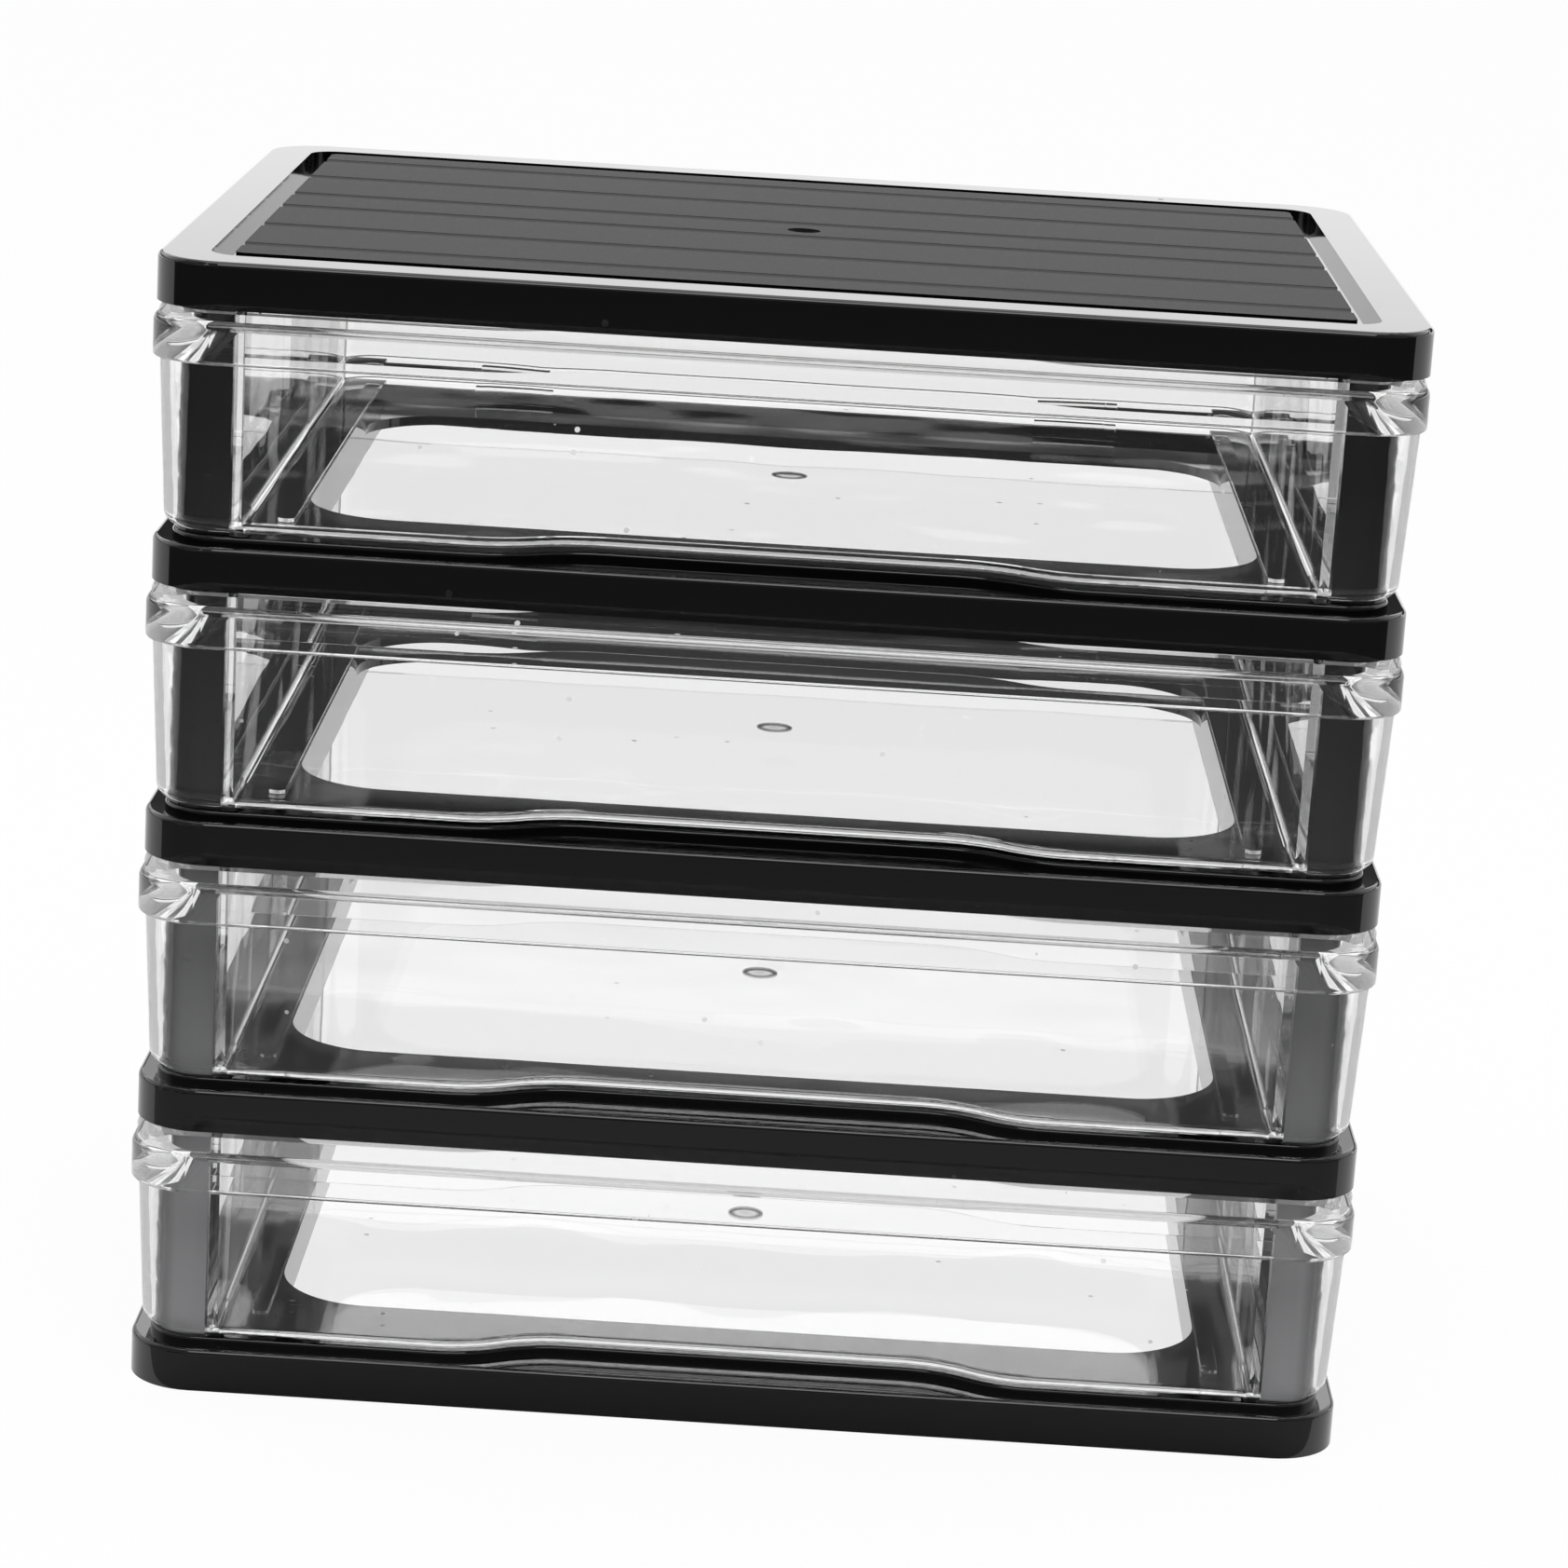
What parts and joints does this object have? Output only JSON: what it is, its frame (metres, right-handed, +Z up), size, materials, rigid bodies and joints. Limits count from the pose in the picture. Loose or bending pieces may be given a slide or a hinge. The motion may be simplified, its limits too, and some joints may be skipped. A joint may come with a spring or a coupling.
{
  "type": "stacked drawer organizer",
  "caption": "Free-standing desktop organizer: clear pull-out drawers carried on black ring frames that stand on corner posts, under a grooved black lid.",
  "frame": {"origin": "middle of the overall footprint, drawers shut, on the surface the unit stands on", "axes": "+X to the right seen from the front, +Y from the drawer fronts to the back, +Z up"},
  "size_m": [0.2608, 0.2184, 0.2426],
  "materials": {
    "black_plastic": "smooth moulded black styrene, glossy, with a fine matte texture on the lid's grooved field",
    "clear_plastic": "clear moulded polystyrene, polished"
  },
  "bodies": {
    "stack": {"lid": "black_plastic", "base_frame": "black_plastic", "shelf_frame_1": "black_plastic", "shelf_frame_2": "black_plastic", "shelf_frame_3": "black_plastic", "post_1_front_left": "black_plastic", "post_1_front_right": "black_plastic", "post_1_back_left": "black_plastic", "post_1_back_right": "black_plastic", "post_2_front_left": "black_plastic", "post_2_front_right": "black_plastic", "post_2_back_left": "black_plastic", "post_2_back_right": "black_plastic", "post_3_front_left": "black_plastic", "post_3_front_right": "black_plastic", "post_3_back_left": "black_plastic", "post_3_back_right": "black_plastic", "post_4_front_left": "black_plastic", "post_4_front_right": "black_plastic", "post_4_back_left": "black_plastic", "post_4_back_right": "black_plastic"},
    "drawer_1": {"drawer_1": "clear_plastic"},
    "drawer_2": {"drawer_2": "clear_plastic"},
    "drawer_3": {"drawer_3": "clear_plastic"},
    "drawer_4": {"drawer_4": "clear_plastic"}
  },
  "joints": [
    {"name": "drawer_1_slide", "type": "slide", "parent": "stack", "child": "drawer_1", "axis": [0, -1, 0], "range_m": [0, 0.165]},
    {"name": "drawer_2_slide", "type": "slide", "parent": "stack", "child": "drawer_2", "axis": [0, -1, 0], "range_m": [0, 0.165]},
    {"name": "drawer_3_slide", "type": "slide", "parent": "stack", "child": "drawer_3", "axis": [0, -1, 0], "range_m": [0, 0.165]},
    {"name": "drawer_4_slide", "type": "slide", "parent": "stack", "child": "drawer_4", "axis": [0, -1, 0], "range_m": [0, 0.165]}
  ]
}
